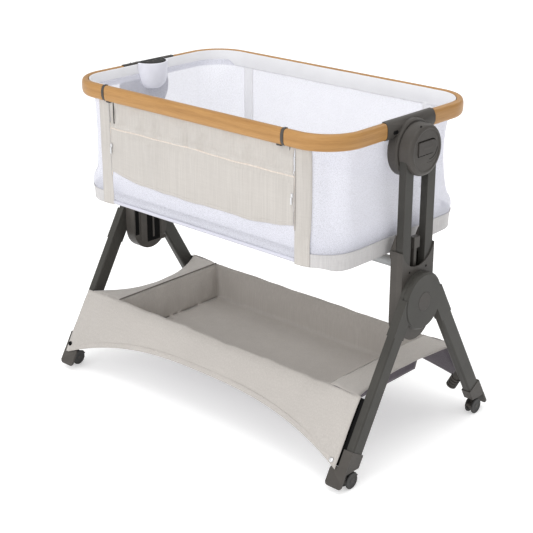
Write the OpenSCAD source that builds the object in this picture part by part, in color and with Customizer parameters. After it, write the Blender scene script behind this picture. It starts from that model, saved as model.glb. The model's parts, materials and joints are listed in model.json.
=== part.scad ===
// Bassinet on a folding stand: a fabric cot with a drop side hangs between two
// height-adjustable end posts. Each post stands on an A-frame of two folding legs
// on braked casters, and a fabric storage basket joins the two A-frames.
// Frame: +X along the length, +Y towards the fixed back side, +Z up, origin on the
// floor under the middle. The right-hand end is +X. Units are millimetres.

/* [Stand] */
// Height of the leg hinge above the floor
hub_z = 369; // [360:1:378]
// Angle of each leg from the vertical
leg_angle = 30; // [29:0.5:31]
// Width of a leg across its outer face
leg_w = 38; // [34:1:40]
// Depth of a leg along the length of the stand
leg_depth = 21.5; // [20:0.5:21.5]
// Outer face of the legs, from the middle of the stand
leg_face_x = 473; // [473:1:476]
// Radius of the round heads of the legs
head_r = 66; // [62:1:68]
// Wall of the steel leg tube
leg_wall = 1.6; // [1.2:0.1:2.5]
// Outer corner radius of the steel leg tube
leg_round = 5; // [3:0.5:7]
// Length of a foot's toe plate along the length of the stand
toe_plate_w = 44.5; // [42:0.5:46]

/* [Columns and posts] */
// Half width of the column shells
column_half_w = 57.5; // [57:0.5:60]
// Top of the column shells
column_top_z = 490; // [480:1:492]
// Height of the centre of the column's round lower end
column_end_z = 330; // [328:1:334]
// Width of one post tube
post_w = 28; // [24:1:28]
// Gap between the two tubes of a post
post_gap = 52; // [50:1:52]
// Lower end of the post tubes
post_low_z = 337; // [336:1:345]
// Height of the crossbar that joins the columns
crossbar_z = 440; // [425:1:445]
// Radius of the crossbar
crossbar_r = 12; // [8:0.5:13]

/* [Swing hub] */
// Height of the swing axis
swing_z = 711; // [708:1:714]
// Radius of the hub housing on the post
housing_r = 57; // [55:0.5:58]
// Radius of the hub disc on the cot bracket
bracket_r = 64; // [60:1:66]
// Radius of the swing pin
swing_pin_r = 10; // [8:0.5:11]

/* [Cot] */
// Half length over the rim
rim_half_x = 418.5; // [417:0.5:419]
// Half width over the rim
rim_half_y = 260; // [255:1:262]
// Outer corner radius of the rim
rim_corner_r = 100; // [90:1:110]
// Top of the rim
rim_top_z = 777; // [775:1:778]
// Height of the rim covers
rim_h = 36; // [34:1:37]
// Depth of the rim covers
rim_d = 16; // [15.5:0.5:16.5]
// Half length of the drop rail between its end bands
drop_half_x = 276.5; // [270:0.5:280]
// Height of the bottom of the cot
cot_low_z = 486; // [486:0.5:488]
// Thickness of the mattress
mattress_h = 46; // [30:1:60]

/* [Storage basket] */
// Half length of the pocket
pocket_half_x = 355; // [330:1:370]
// Half width of the pocket
pocket_half_y = 178; // [165:1:178]
// Height of the basket's top edge
basket_z = 192; // [185:1:195]
// Depth of the pocket
pocket_h = 97; // [80:1:110]
// Half length of the skirts
skirt_half_x = 448; // [440:1:460]
// Height of the skirt's arch at its middle
arch_z = 119; // [110:1:125]
// Height of the skirt's corners
skirt_low_z = 45; // [42:1:50]

/* [Casters] */
// Radius of the wheels
wheel_r = 19; // [17:0.5:19]
// Width over a pair of wheels
caster_w = 22; // [20:1:24]
// Distance of the swivel axis from the middle of the stand's width
swivel_y = 243; // [241:0.5:243]
// Offset of the wheel axis from the swivel axis
trail = 4; // [3:0.5:5]

/* [Hidden] */
$fn = 64;
running = 0.05;
gap = 0.3;
bolt_r = 5;

// Layers along X at the right-hand end, from the cot outwards.
rim_in_x = rim_half_x - rim_d;
bracket_x0 = rim_in_x + 1.5;
bracket_x1 = 428;
housing_x0 = 429.2;
housing_x1 = 461;
column_x0 = 419;
column_split_x = 436;
column_x1 = 451;
column_wall = 2.7;
post_x0 = 430;
post_x1 = 448;
front_head_x = [451.5, 460.5];
rear_head_x = [461, leg_face_x];

// Legs: s runs down the leg from the hinge, p stands off outwards from that line.
leg_p1 = head_r;
leg_p0 = head_r - leg_w;
leg_x0 = leg_face_x - leg_depth;
tube_start_s = 98;
tube_end_s = 375;
axle_r = 9;
fold_button_r = 22;

// Foot caps
cap_wall = 2.9;
toe_x1 = leg_face_x + 2;
toe_x0 = toe_x1 - toe_plate_w;
toe_top_z = 54;
cap_x0 = leg_x0 - 1.5;
cap_x1 = leg_face_x + 1.5;
cap_seam_s = 362;
cap_roof_z = 43;
cap_lip_z = 13;
cap_lip_y = 281;
caster_x = (leg_x0 + leg_face_x) / 2;
wheel_y = swivel_y - trail;
stem_top_z = 64;
pedal_pin = [223.5, 26];

// Rim
rim_low_z = rim_top_z - rim_h;
rim_mid_z = rim_top_z - rim_h / 2;
rim_tube_r = 7;
rim_tube_in = 8.5;
bracket_half_y = 83;
band_w = 8;
drop_end_x = drop_half_x + gap + band_w;
release_x = 268;
release_y = rim_half_y - 8;

// Cot body
fabric_x = rim_in_x - 0.5;
fabric_y = rim_half_y - rim_d - 0.5;
fabric_r = rim_corner_r - rim_d - 0.5;
fabric_t = 3;
hem_top_z = cot_low_z + 9;
ring_r = 7;
ring_in = 11;
board_h = 8;
mattress_z = cot_low_z + 2 * ring_r + 1;
drop_open_x = drop_end_x - 0.7;

dark = "#4b4843";
darker = "#3e3c38";
oak = "#cda064";
linen = "#d6cfc6";
canvas = "#968d85";
mesh_white = "#e2e2ea";

// ---------------------------------------------------------------- helpers

// Places a shape made for the right-hand end at either end.
module at_end(sx) {
  if (sx > 0) children();
  else mirror([1, 0, 0]) children();
}

// Places a shape made for the rear right-hand corner at any corner.
module at_corner(sx, sy) {
  at_end(sx)
    if (sy > 0) children();
    else mirror([0, 1, 0]) children();
}

// A cylinder along X from x0 to x1 with its axis at y, z.
module rod_x(x0, x1, y, z, r) {
  translate([x0, y, z]) rotate([0, 90, 0]) cylinder(r = r, h = x1 - x0);
}

// A box from its lowest to its highest corner.
module block(low, high) {
  translate(low) cube(high - low);
}

// Turns an outline drawn in Y and Z into a slab from x0 to x1.
module slab_x(x0, x1) {
  translate([x0, 0, 0]) rotate([90, 0, 90]) linear_extrude(x1 - x0) children();
}

// A disc along X with a bevelled outer edge.
module bevelled_disc(x0, x1, z, r, bevel) {
  translate([x0, 0, z]) rotate([0, 90, 0]) rotate_extrude()
    polygon([[0, 0], [r, 0], [r, x1 - x0 - bevel], [r - bevel, x1 - x0], [0, x1 - x0]]);
}

// A rectangle with round corners, drawn with true arcs.
module round_rect(hx, hy, r) {
  square([2 * (hx - r), 2 * hy], center = true);
  square([2 * hx, 2 * (hy - r)], center = true);
  for (sx = [-1, 1], sy = [-1, 1])
    translate([sx * (hx - r), sy * (hy - r)]) circle(r);
}

// The rim follows a round rectangle. A profile is drawn at [distance out, z], with
// 0 at the rim's outer face, and is run along a corner or a straight.
module rim_bend(sx, sy) {
  translate([sx * (rim_half_x - rim_corner_r), sy * (rim_half_y - rim_corner_r), 0])
    rotate([0, 0, sx > 0 ? (sy > 0 ? 0 : -90) : (sy > 0 ? 90 : 180)])
      rotate_extrude(angle = 90) translate([rim_corner_r, 0]) children();
}

module rim_side(x0, x1, sy) {
  if (sy > 0)
    translate([x0, rim_half_y, 0]) rotate([90, 0, 90]) linear_extrude(x1 - x0) children();
  else
    mirror([0, 1, 0]) translate([x0, rim_half_y, 0]) rotate([90, 0, 90])
      linear_extrude(x1 - x0) children();
}

module rim_end(sx, y0, y1) {
  at_end(sx) translate([rim_half_x, y1, 0]) rotate([90, 0, 0])
    linear_extrude(y1 - y0) children();
}

// The bulged outline of the rim covers, open to the inside round the tube.
module cover_profile() {
  difference() {
    rim_outline(0);
    rim_channel();
  }
}

module rim_outline(grow) {
  translate([0, rim_mid_z]) polygon([
    [-rim_d, -rim_h / 2 - grow], [-7, -rim_h / 2 - grow], [-2.5, -rim_h / 2 + 4 - grow],
    [grow, -rim_h / 2 + 12], [grow, rim_h / 2 - 12], [-2.5, rim_h / 2 - 4 + grow],
    [-7, rim_h / 2 + grow], [-rim_d, rim_h / 2 + grow]
  ]);
}

module rim_channel() {
  translate([-rim_tube_in, rim_mid_z]) circle(rim_tube_r + gap);
  translate([-rim_d - 1, rim_mid_z - rim_tube_r - gap])
    square([rim_d + 1 - rim_tube_in, 2 * (rim_tube_r + gap)]);
}

module tube_profile() {
  translate([-rim_tube_in, rim_mid_z]) difference() {
    circle(rim_tube_r);
    circle(rim_tube_r - 1.2);
  }
}

// ---------------------------------------------------------------- columns

// Side view of a column: straight sides and a round lower end.
module column_outline(inset) {
  r = column_half_w - inset;
  translate([0, column_end_z]) circle(r);
  translate([-r, column_end_z]) square([2 * r, column_top_z - column_end_z]);
}

// Outer shell, with a curved cut-out at its top and the axle of the leg hinge.
module column_outer(sx) {
  cut_r = 60;
  cut_z = 447.5 + cut_r;
  screw_y = 30;
  color(dark) at_end(sx) difference() {
    union() {
      difference() {
        slab_x(column_split_x, column_x1) column_outline(0);
        slab_x(column_split_x - 1, column_x1 - column_wall) column_outline(3);
        block([column_split_x - 1, -column_half_w + 3, column_top_z - 20],
              [column_x1 - column_wall, column_half_w - 3, column_top_z + 1]);
      }
      rod_x(column_x1 - 1, 465.5, 0, hub_z, axle_r);
    }
    rod_x(column_split_x - 1, column_x1 + 1, 0, cut_z, cut_r);
    for (s = [-1, 1])
      rod_x(column_x1 - 1.5, column_x1 + 1, s * screw_y, cut_z - cut_r - 8, 3);
  }
}

// Inner shell, with the guide of the height latch and the horns behind the tubes.
module column_inner(sx) {
  horn_y = post_gap / 2 + 1.5;
  horn_w = post_w - 1.5;
  color(dark) at_end(sx) {
    difference() {
      union() {
        difference() {
          slab_x(column_x0, column_split_x) column_outline(0);
          slab_x(column_x0 + column_wall, column_split_x + 1) column_outline(3);
          block([column_x0 + column_wall, -column_half_w + 3, column_top_z - 20],
                [column_split_x + 1, column_half_w - 3, column_top_z + 1]);
        }
        block([column_x0, -20, 425], [post_x1 - 2, 20, 439]);
        for (s = [-1, 1])
          translate([0, s * (horn_y + horn_w / 2) + horn_w / 2, 0])
            rotate([90, 0, 0]) linear_extrude(horn_w)
              polygon([[column_x0 + 1, 470], [column_x0 - 6, 470], [column_x0 - 6, 486],
                       [post_x0 - 3, 526], [post_x0 - 0.7, 526], [post_x0 - 0.7, 470]]);
      }
      block([433.8, -5.2, 420], [442.2, 5.2, 445]);
    }
  }
}

// Crossbar under the cot, which joins the two columns.
module crossbar() {
  color("#8d8f92") difference() {
    rod_x(-column_x0, column_x0, 0, crossbar_z, crossbar_r);
    rod_x(-column_x0 - 1, column_x0 + 1, 0, crossbar_z, crossbar_r - 1.5);
  }
}

// ---------------------------------------------------------------- posts

module post_boxes(top_z, inset) {
  for (s = [-1, 1])
    translate([post_x0 + inset, s * (post_gap + post_w) / 2 - post_w / 2 + inset, post_low_z - inset])
      cube([post_x1 - post_x0 - 2 * inset, post_w - 2 * inset, top_z - post_low_z + 2 * inset]);
}

// The two sliding tubes of one post.
module post_tubes(sx) {
  color(darker) at_end(sx) difference() {
    post_boxes(705, 0);
    post_boxes(705, 1.5);
  }
}

// Outline of the tilt button, round at its rear end.
module tilt_outline(r) {
  translate([18, swing_z + 7]) circle(r);
  translate([-30 - (r - 14.5), swing_z + 7 - r]) square([48 + (r - 14.5), 2 * r]);
}

// Housing on top of a post, with the bearing of the cot's swing pin.
module hub_housing(sx, pin_clearance) {
  color(dark) at_end(sx) difference() {
    bevelled_disc(housing_x0, housing_x1, swing_z, housing_r, 7);
    post_boxes(705, 0);
    rod_x(housing_x0 - 1, 446, 0, swing_z, swing_pin_r + pin_clearance);
    slab_x(451, housing_x1 + 1) tilt_outline(15);
  }
}

// Button that frees the cot's swing.
module tilt_button(sx) {
  color(darker) at_end(sx) slab_x(455, housing_x1 + 1) tilt_outline(14.5);
}

// Latch between the post tubes that holds the height.
module height_latch(sx) {
  color(dark) at_end(sx) {
    block([434, -5, 412], [442, 5, 488]);
    block([432, -10, 488], [446, 10, 514]);
  }
}

// ---------------------------------------------------------------- cot

// Steel tube inside the fixed part of the rim.
module rim_tube() {
  run_x = rim_half_x - rim_corner_r;
  run_y = rim_half_y - rim_corner_r;
  color("silver") {
    rim_side(-run_x, run_x, 1) tube_profile();
    for (sx = [-1, 1]) {
      rim_bend(sx, 1) tube_profile();
      rim_bend(sx, -1) tube_profile();
      rim_end(sx, -run_y, run_y) tube_profile();
    }
    rim_side(drop_end_x + gap, run_x, -1) tube_profile();
    rim_side(-run_x, -drop_end_x - gap, -1) tube_profile();
  }
}

// Rim cover from one bracket round the back to the other.
module rim_cover_back() {
  run_x = rim_half_x - rim_corner_r;
  run_y = rim_half_y - rim_corner_r;
  color(oak) {
    rim_side(-run_x, run_x, 1) cover_profile();
    for (sx = [-1, 1]) {
      rim_bend(sx, 1) cover_profile();
      rim_end(sx, bracket_half_y + gap, run_y) cover_profile();
    }
  }
}

// Rim cover from a bracket round a front corner to the drop rail.
module rim_cover_front(sx) {
  run_x = rim_half_x - rim_corner_r;
  run_y = rim_half_y - rim_corner_r;
  color(oak) {
    rim_end(sx, -run_y, -bracket_half_y - gap) cover_profile();
    rim_bend(sx, -1) cover_profile();
    at_end(sx) rim_side(drop_end_x + gap, run_x, -1) cover_profile();
  }
}

// Bracket clamped round the end of the rim, with the hub disc and the swing pin.
module hub_bracket(sx) {
  color(dark) difference() {
    union() {
      rim_end(sx, -bracket_half_y, bracket_half_y) rim_outline(2);
      at_end(sx) bevelled_disc(bracket_x0, bracket_x1, swing_z, bracket_r, 3);
      at_end(sx) rod_x(bracket_x1 - 1, 445, 0, swing_z, swing_pin_r);
    }
    rim_end(sx, -bracket_half_y - 1, bracket_half_y + 1) rim_channel();
  }
}

// Steel ring round the floor of the cot.
module base_ring() {
  hx = fabric_x - ring_in;
  hy = fabric_y - ring_in;
  r = fabric_r - ring_in;
  z = cot_low_z + ring_r + 0.5;
  color("silver") {
    for (sy = [-1, 1]) rod_x(r - hx, hx - r, sy * hy, z, ring_r);
    for (sx = [-1, 1])
      translate([sx * hx, hy - r, z]) rotate([90, 0, 0]) cylinder(r = ring_r, h = 2 * (hy - r));
    for (sx = [-1, 1], sy = [-1, 1])
      translate([sx * (hx - r), sy * (hy - r), z])
        rotate([0, 0, sx > 0 ? (sy > 0 ? 0 : -90) : (sy > 0 ? 90 : 180)])
          rotate_extrude(angle = 90) translate([r, 0]) circle(ring_r);
  }
}

// Stiff board inside the ring.
module base_board() {
  inset = ring_in + ring_r + 0.8;
  color(canvas) translate([0, 0, cot_low_z + 1]) linear_extrude(board_h)
    round_rect(fabric_x - inset, fabric_y - inset, fabric_r - inset);
}

module mattress() {
  inset = fabric_t + 6;
  color("white") translate([0, 0, mattress_z]) linear_extrude(mattress_h)
    round_rect(fabric_x - inset, fabric_y - inset, fabric_r - inset);
}

// Fabric walls and floor of the cot, open where the drop side stands.
module cot_fabric() {
  floor_t = 1.5;
  color(mesh_white, 0.5) difference() {
    translate([0, 0, cot_low_z - floor_t]) linear_extrude(rim_top_z - cot_low_z + floor_t - 1)
      round_rect(fabric_x, fabric_y, fabric_r);
    translate([0, 0, cot_low_z]) linear_extrude(rim_top_z)
      round_rect(fabric_x - fabric_t, fabric_y - fabric_t, fabric_r - fabric_t);
    block([-drop_open_x, -fabric_y - 1, hem_top_z],
          [drop_open_x, -fabric_y + fabric_t + 1, rim_top_z + 1]);
  }
}

// Rounded casing of the control pod on the inside of the left-hand end.
module pod_body() {
  pod_r = 42;
  pod_x = -rim_in_x + 4.5;
  color("white") intersection() {
    union() {
      translate([pod_x, 0, 728]) cylinder(r = pod_r, h = rim_top_z + 0.5 - 728);
      translate([pod_x, 0, 710]) cylinder(r1 = pod_r - 16, r2 = pod_r, h = 18);
    }
    block([pod_x, -pod_r - 1, 700], [pod_x + pod_r + 1, pod_r + 1, rim_top_z + 3]);
  }
}

// Flat dark lid of the pod, up to the rim bracket.
module pod_lid() {
  lid_r = 38;
  color("#2b2b2c") translate([-rim_in_x + 4.5, 0, rim_top_z + 0.5 + gap]) linear_extrude(2)
    union() {
      intersection() {
        circle(lid_r);
        translate([-1, -lid_r - 1]) square([lid_r + 2, 2 * lid_r + 2]);
      }
      translate([-4, -lid_r]) square([4, 2 * lid_r]);
    }
}

// ---------------------------------------------------------------- drop side

module drop_rail_tube() {
  color("silver") rim_side(-drop_half_x, drop_half_x, -1) tube_profile();
}

module release_block(grow, top_z) {
  block([release_x - 6 - grow, -release_y - 4 - grow, rim_low_z - 3],
        [release_x + 6 + grow, -release_y + 4 + grow, top_z]);
}

module drop_rail_cover() {
  color(oak) difference() {
    rim_side(-drop_half_x, drop_half_x, -1) cover_profile();
    for (sx = [-1, 1]) at_end(sx) release_block(gap, rim_low_z + 9);
  }
}

// Dark bands that close the two ends of the drop rail.
module drop_rail_ends() {
  color(darker) for (sx = [-1, 1])
    at_end(sx) rim_side(drop_half_x + gap, drop_end_x, -1) rim_outline(1);
}

// Fabric panel of the drop side.
module drop_panel() {
  color(linen) block([-drop_open_x + 1, -fabric_y, hem_top_z + 3],
                     [drop_open_x - 1, -fabric_y + fabric_t, rim_top_z - 1]);
}

// Push button under the drop rail.
module rail_release(sx) {
  color(darker) at_end(sx) release_block(0, rim_low_z + 4);
}

// ---------------------------------------------------------------- legs

// Point of a leg in Y and Z, at s down the leg and p out from it.
function leg_point(s, p) =
  [s * sin(leg_angle) + p * cos(leg_angle), hub_z - s * cos(leg_angle) + p * sin(leg_angle)];

// Y of the line that runs down the leg at p, at height z.
function leg_y(p, z) = p / cos(leg_angle) + (hub_z - z) * tan(leg_angle);

module in_leg(sx, sy) {
  at_corner(sx, sy) translate([0, 0, hub_z]) rotate([leg_angle, 0, 0]) children();
}

// Round-cornered bar of the leg tube: its outside at inset 0, its bore at the wall's inset.
module leg_box(inset, end_s) {
  low_s = end_s + (inset > 0 ? 1 : 0);
  top_s = tube_start_s + 4 * inset;
  r = leg_round - inset;
  translate([leg_x0 + inset + r, leg_p0 + inset + r, -low_s]) linear_extrude(low_s - top_s)
    offset(r = r) square([leg_depth - 2 * leg_round, leg_w - 2 * leg_round]);
}

// Solid upper part of a leg, at full depth along its outer edge. It is scooped out
// round the head of the other leg of the pair.
module leg_cheek(sy) {
  other_x = sy > 0 ? [column_x1, rear_head_x[0]] : [front_head_x[1], leg_face_x + 1];
  difference() {
    block([leg_x0, leg_p0, -tube_start_s - 1], [leg_face_x, leg_p1, -16]);
    rod_x(other_x[0] - 0.4, other_x[1] + 0.4, 0, 0, head_r + 0.5);
  }
}

// A leg: the steel tube with the round hinge head that holds it.
module leg(sx, sy) {
  head_x = sy > 0 ? rear_head_x : front_head_x;
  color(darker) at_corner(sx, sy) difference() {
    union() {
      translate([0, 0, hub_z]) rotate([leg_angle, 0, 0]) {
        leg_box(0, tube_end_s);
        leg_cheek(sy);
        block([head_x[0], leg_p0, -tube_start_s - 1], [head_x[1], leg_p1, -12]);
      }
      if (sy > 0) bevelled_disc(head_x[0], head_x[1], hub_z, head_r, 4);
      else rod_x(head_x[0], head_x[1], 0, hub_z, head_r);
    }
    translate([0, 0, hub_z]) rotate([leg_angle, 0, 0]) leg_box(leg_wall, tube_end_s);
    rod_x(head_x[0] - 1, head_x[1] + 1, 0, hub_z, axle_r + running);
    if (sy > 0) rod_x(466.5, head_x[1] + 1, 0, hub_z, fold_button_r + 0.2);
  }
}

// Round button on the hinge that frees the legs to fold.
module fold_button(sx) {
  color(dark) at_end(sx) rod_x(469.5, leg_face_x + 0.5, 0, hub_z, fold_button_r);
}

// Plastic foot: a cap on the end of a leg, with a wide toe plate in front of the caster.
module foot_cap(sx, sy) {
  p0 = leg_p0 - 1.5;
  p1 = leg_p1 + cap_wall;
  toe_r = 7;
  color(dark) at_corner(sx, sy) difference() {
    union() {
      slab_x(cap_x0, cap_x1) polygon([
        leg_point(cap_seam_s, p0), leg_point(cap_seam_s, p1),
        [leg_y(p1, cap_roof_z), cap_roof_z], [leg_y(p0, cap_roof_z), cap_roof_z]
      ]);
      intersection() {
        slab_x(toe_x0, toe_x1) polygon([
          [leg_y(p1, 60), 60], [leg_y(p1, 22), 22], [cap_lip_y, cap_lip_z],
          [cap_lip_y - 3, cap_lip_z], [leg_y(leg_p1 - 0.1, 60), 60]
        ]);
        translate([toe_x0 + toe_r, cap_lip_y + 5, cap_lip_z + toe_r]) rotate([90, 0, 0])
          linear_extrude(60) offset(r = toe_r)
            square([toe_plate_w - 2 * toe_r, toe_top_z - cap_lip_z - 2 * toe_r]);
      }
    }
    translate([0, 0, hub_z]) rotate([leg_angle, 0, 0]) leg_box(0, tube_end_s);
    translate([caster_x, swivel_y, cap_roof_z - 1])
      cylinder(r = bolt_r + running, h = stem_top_z + 2 - cap_roof_z);
  }
}

// Ribbed stop on the inner side of a rear leg.
module rear_stop(sx) {
  reach = 50;
  color(dark) at_end(sx) {
    difference() {
      translate([440, 205, 110]) rotate([0, -152, 0]) {
        translate([0, 0, -14]) cylinder(r = 11, h = reach + 10);
        for (i = [0:3]) translate([0, 0, 16 + 8 * i]) cylinder(r = 13, h = 4.5);
      }
      block([cap_x0 - gap, 180, 40], [cap_x0 + 40, 240, 160]);
    }
  }
}

// ---------------------------------------------------------------- casters

// Swivelling centre piece of a caster, with its stem.
module caster(sx, sy) {
  color(darker) at_corner(sx, sy) difference() {
    union() {
      rod_x(caster_x - 5, caster_x + 5, wheel_y, wheel_r, 12.5);
      block([caster_x - 5, swivel_y - 8, wheel_r + 2], [caster_x + 5, swivel_y + 8, cap_roof_z - 0.5]);
      translate([caster_x, swivel_y, cap_roof_z - 2])
        cylinder(r = bolt_r, h = stem_top_z - cap_roof_z + 2);
      block([caster_x - 2, pedal_pin[0] - 2, pedal_pin[1] - 2.5],
            [caster_x + 2, wheel_y - 5, pedal_pin[1] + 2.5]);
      rod_x(caster_x - 4.5, caster_x + 4.5, pedal_pin[0], pedal_pin[1], 1.5);
    }
    rod_x(caster_x - 6, caster_x + 6, wheel_y, wheel_r, 3 + running);
  }
}

// The pair of wheels on their axle.
module wheels(sx, sy) {
  side_w = (caster_w - 12) / 2;
  color("#2f2e2d") at_corner(sx, sy) {
    for (s = [-1, 1])
      translate([caster_x + s * (6 + side_w / 2), wheel_y, wheel_r]) rotate([0, 90, 0])
        cylinder(r = wheel_r, h = side_w, center = true);
    rod_x(caster_x - 7, caster_x + 7, wheel_y, wheel_r, 3);
  }
}

// Brake tab between the wheels.
module brake(sx, sy) {
  color(dark) at_corner(sx, sy) difference() {
    block([caster_x - 4.5, pedal_pin[0] - 6.5, pedal_pin[1] - 2.5],
          [caster_x + 4.5, pedal_pin[0] + 2.5, pedal_pin[1] + 2.5]);
    block([caster_x - 2.3, pedal_pin[0] - 3, pedal_pin[1] - 3],
          [caster_x + 2.3, pedal_pin[0] + 3, pedal_pin[1] + 3]);
    rod_x(caster_x - 5, caster_x + 5, pedal_pin[0], pedal_pin[1], 1.5 + running);
  }
}

// ---------------------------------------------------------------- basket

// Pocket of the storage basket.
module storage_basket() {
  wall = 2;
  color(canvas) difference() {
    block([-pocket_half_x, -pocket_half_y, basket_z - pocket_h],
          [pocket_half_x, pocket_half_y, basket_z]);
    block([-pocket_half_x + wall, -pocket_half_y + wall, basket_z - pocket_h + wall],
          [pocket_half_x - wall, pocket_half_y - wall, basket_z + 1]);
  }
}

// Skirts over the legs at the front and back, with arched lower edges, and the
// borders that run from the pocket to the A-frames.
module basket_skirts() {
  skirt_p = leg_p1 + cap_wall + 0.6;
  skirt_t = 1.5;
  top_s = (skirt_p * sin(leg_angle) + hub_z - basket_z) / cos(leg_angle);
  low_s = (skirt_p * sin(leg_angle) + hub_z - skirt_low_z) / cos(leg_angle);
  sag = (arch_z - skirt_low_z) / cos(leg_angle);
  arch_r = (skirt_half_x * skirt_half_x + sag * sag) / (2 * sag);
  border_x = toe_x0 - 0.5;
  scoop = 40;
  scoop_half = pocket_half_y - 10;
  scoop_r = (scoop_half * scoop_half + scoop * scoop) / (2 * scoop);
  color(canvas) {
    for (sy = [-1, 1]) in_leg(1, sy)
      translate([0, skirt_p + skirt_t, 0]) rotate([90, 0, 0]) linear_extrude(skirt_t) difference() {
        translate([-skirt_half_x, -low_s]) square([2 * skirt_half_x, low_s - top_s]);
        translate([0, -low_s + sag - arch_r]) circle(arch_r, $fn = 180);
      }
    for (sx = [-1, 1]) at_end(sx) translate([0, 0, basket_z - 2]) linear_extrude(2) difference() {
      translate([pocket_half_x + gap, -pocket_half_y])
        square([border_x - pocket_half_x - gap, 2 * pocket_half_y]);
      translate([border_x - scoop + scoop_r, 0]) circle(scoop_r, $fn = 120);
    }
  }
}

// ---------------------------------------------------------------- nodes

column_outer(1);  // column_outer_right
column_outer(-1);  // column_outer_left
column_inner(1);  // column_inner_right
column_inner(-1);  // column_inner_left
crossbar();
storage_basket();
basket_skirts();
post_tubes(1);  // post_tubes_right
post_tubes(-1);  // post_tubes_left
hub_housing(1, running);  // hub_housing_right
hub_housing(-1, 0.5);  // hub_housing_left
height_latch(1);  // height_latch_right
height_latch(-1);  // height_latch_left
rim_tube();
rim_cover_back();
rim_cover_front(1);  // rim_cover_front_right
rim_cover_front(-1);  // rim_cover_front_left
hub_bracket(1);  // hub_bracket_right
hub_bracket(-1);  // hub_bracket_left
base_ring();
base_board();
mattress();
cot_fabric();
pod_body();
pod_lid();
drop_rail_tube();
drop_rail_cover();
drop_rail_ends();
drop_panel();
rail_release(1);  // rail_release_right
rail_release(-1);  // rail_release_left
tilt_button(1);  // tilt_button_right
tilt_button(-1);  // tilt_button_left
fold_button(1);  // fold_button_right
fold_button(-1);  // fold_button_left
leg(1, -1);  // leg_front_right
leg(-1, -1);  // leg_front_left
leg(1, 1);  // leg_rear_right
leg(-1, 1);  // leg_rear_left
foot_cap(1, -1);  // foot_cap_front_right
foot_cap(-1, -1);  // foot_cap_front_left
foot_cap(1, 1);  // foot_cap_rear_right
foot_cap(-1, 1);  // foot_cap_rear_left
caster(1, -1);  // caster_front_right
caster(-1, -1);  // caster_front_left
caster(1, 1);  // caster_rear_right
caster(-1, 1);  // caster_rear_left
wheels(1, -1);  // wheels_front_right
wheels(-1, -1);  // wheels_front_left
wheels(1, 1);  // wheels_rear_right
wheels(-1, 1);  // wheels_rear_left
brake(1, -1);  // brake_front_right
brake(-1, -1);  // brake_front_left
brake(1, 1);  // brake_rear_right
brake(-1, 1);  // brake_rear_left
rear_stop(1);  // rear_stop_right
rear_stop(-1);  // rear_stop_left
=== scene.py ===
"""Looks of the bassinet on its folding stand: rounded hard parts, sewn fabric and materials."""
import json
import math

import bmesh
import bpy
import numpy as np
from mathutils import Matrix, Vector

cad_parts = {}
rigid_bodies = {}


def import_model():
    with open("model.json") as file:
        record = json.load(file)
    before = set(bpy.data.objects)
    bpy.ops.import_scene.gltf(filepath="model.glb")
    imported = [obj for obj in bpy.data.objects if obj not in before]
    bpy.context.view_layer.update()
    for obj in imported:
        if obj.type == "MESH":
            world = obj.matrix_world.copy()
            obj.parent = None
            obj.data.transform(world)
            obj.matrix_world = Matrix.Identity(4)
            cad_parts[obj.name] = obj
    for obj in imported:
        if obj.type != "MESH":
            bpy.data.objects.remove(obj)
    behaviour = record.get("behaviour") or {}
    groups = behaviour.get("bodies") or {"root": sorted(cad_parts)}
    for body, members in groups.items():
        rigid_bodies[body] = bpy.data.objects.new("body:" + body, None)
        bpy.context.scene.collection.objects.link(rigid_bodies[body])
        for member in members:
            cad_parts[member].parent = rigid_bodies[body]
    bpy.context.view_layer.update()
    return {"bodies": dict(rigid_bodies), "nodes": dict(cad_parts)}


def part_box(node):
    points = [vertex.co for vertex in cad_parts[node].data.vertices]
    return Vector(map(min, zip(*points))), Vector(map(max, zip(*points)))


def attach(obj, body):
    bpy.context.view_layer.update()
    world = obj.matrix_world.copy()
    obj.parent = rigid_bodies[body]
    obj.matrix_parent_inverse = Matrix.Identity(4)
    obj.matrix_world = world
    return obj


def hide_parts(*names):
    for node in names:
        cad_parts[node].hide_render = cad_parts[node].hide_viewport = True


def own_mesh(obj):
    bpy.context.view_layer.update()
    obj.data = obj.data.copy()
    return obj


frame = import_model()
scene = bpy.context.scene

ENDS = (("right", 1), ("left", -1))
CORNERS = (("front_right", 1, -1), ("front_left", -1, -1), ("rear_right", 1, 1), ("rear_left", -1, 1))

# Rim and cot sizes, in metres
RIM = (0.4185, 0.260, 0.100)
RIM_DEPTH, RIM_HEIGHT, RIM_TOP = 0.016, 0.036, 0.777
BRACKET_Y = 0.0833
DROP_X = 0.2765
WALL = (0.402, 0.2435, 0.0835)
HEM_LOW, HEM_TOP = 0.4835, 0.5140
RAIL_LOW = RIM_TOP - RIM_HEIGHT

# Basket sizes
BASKET_Z, POCKET_X, POCKET_Y, POCKET_LOW = 0.192, 0.352, 0.176, 0.096
HUB_Z, LEG_ANGLE = 0.369, math.radians(30)
SKIRT_P = 0.0715
TAPER = 0.955


# ------------------------------------------------------------------ camera

def make_camera():
    cam = bpy.data.objects.new("camera", bpy.data.cameras.new("camera"))
    scene.collection.objects.link(cam)
    cam.location = (1.9686, -2.1344, 1.4588)
    forward = Vector((-0.6318, 0.6847, -0.3633))
    cam.rotation_euler = forward.to_track_quat("-Z", "Y").to_euler()
    cam.data.lens = 85.9
    cam.data.sensor_width = 36
    cam.data.clip_end = 50
    scene.camera = cam


# --------------------------------------------------------------- materials

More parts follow.
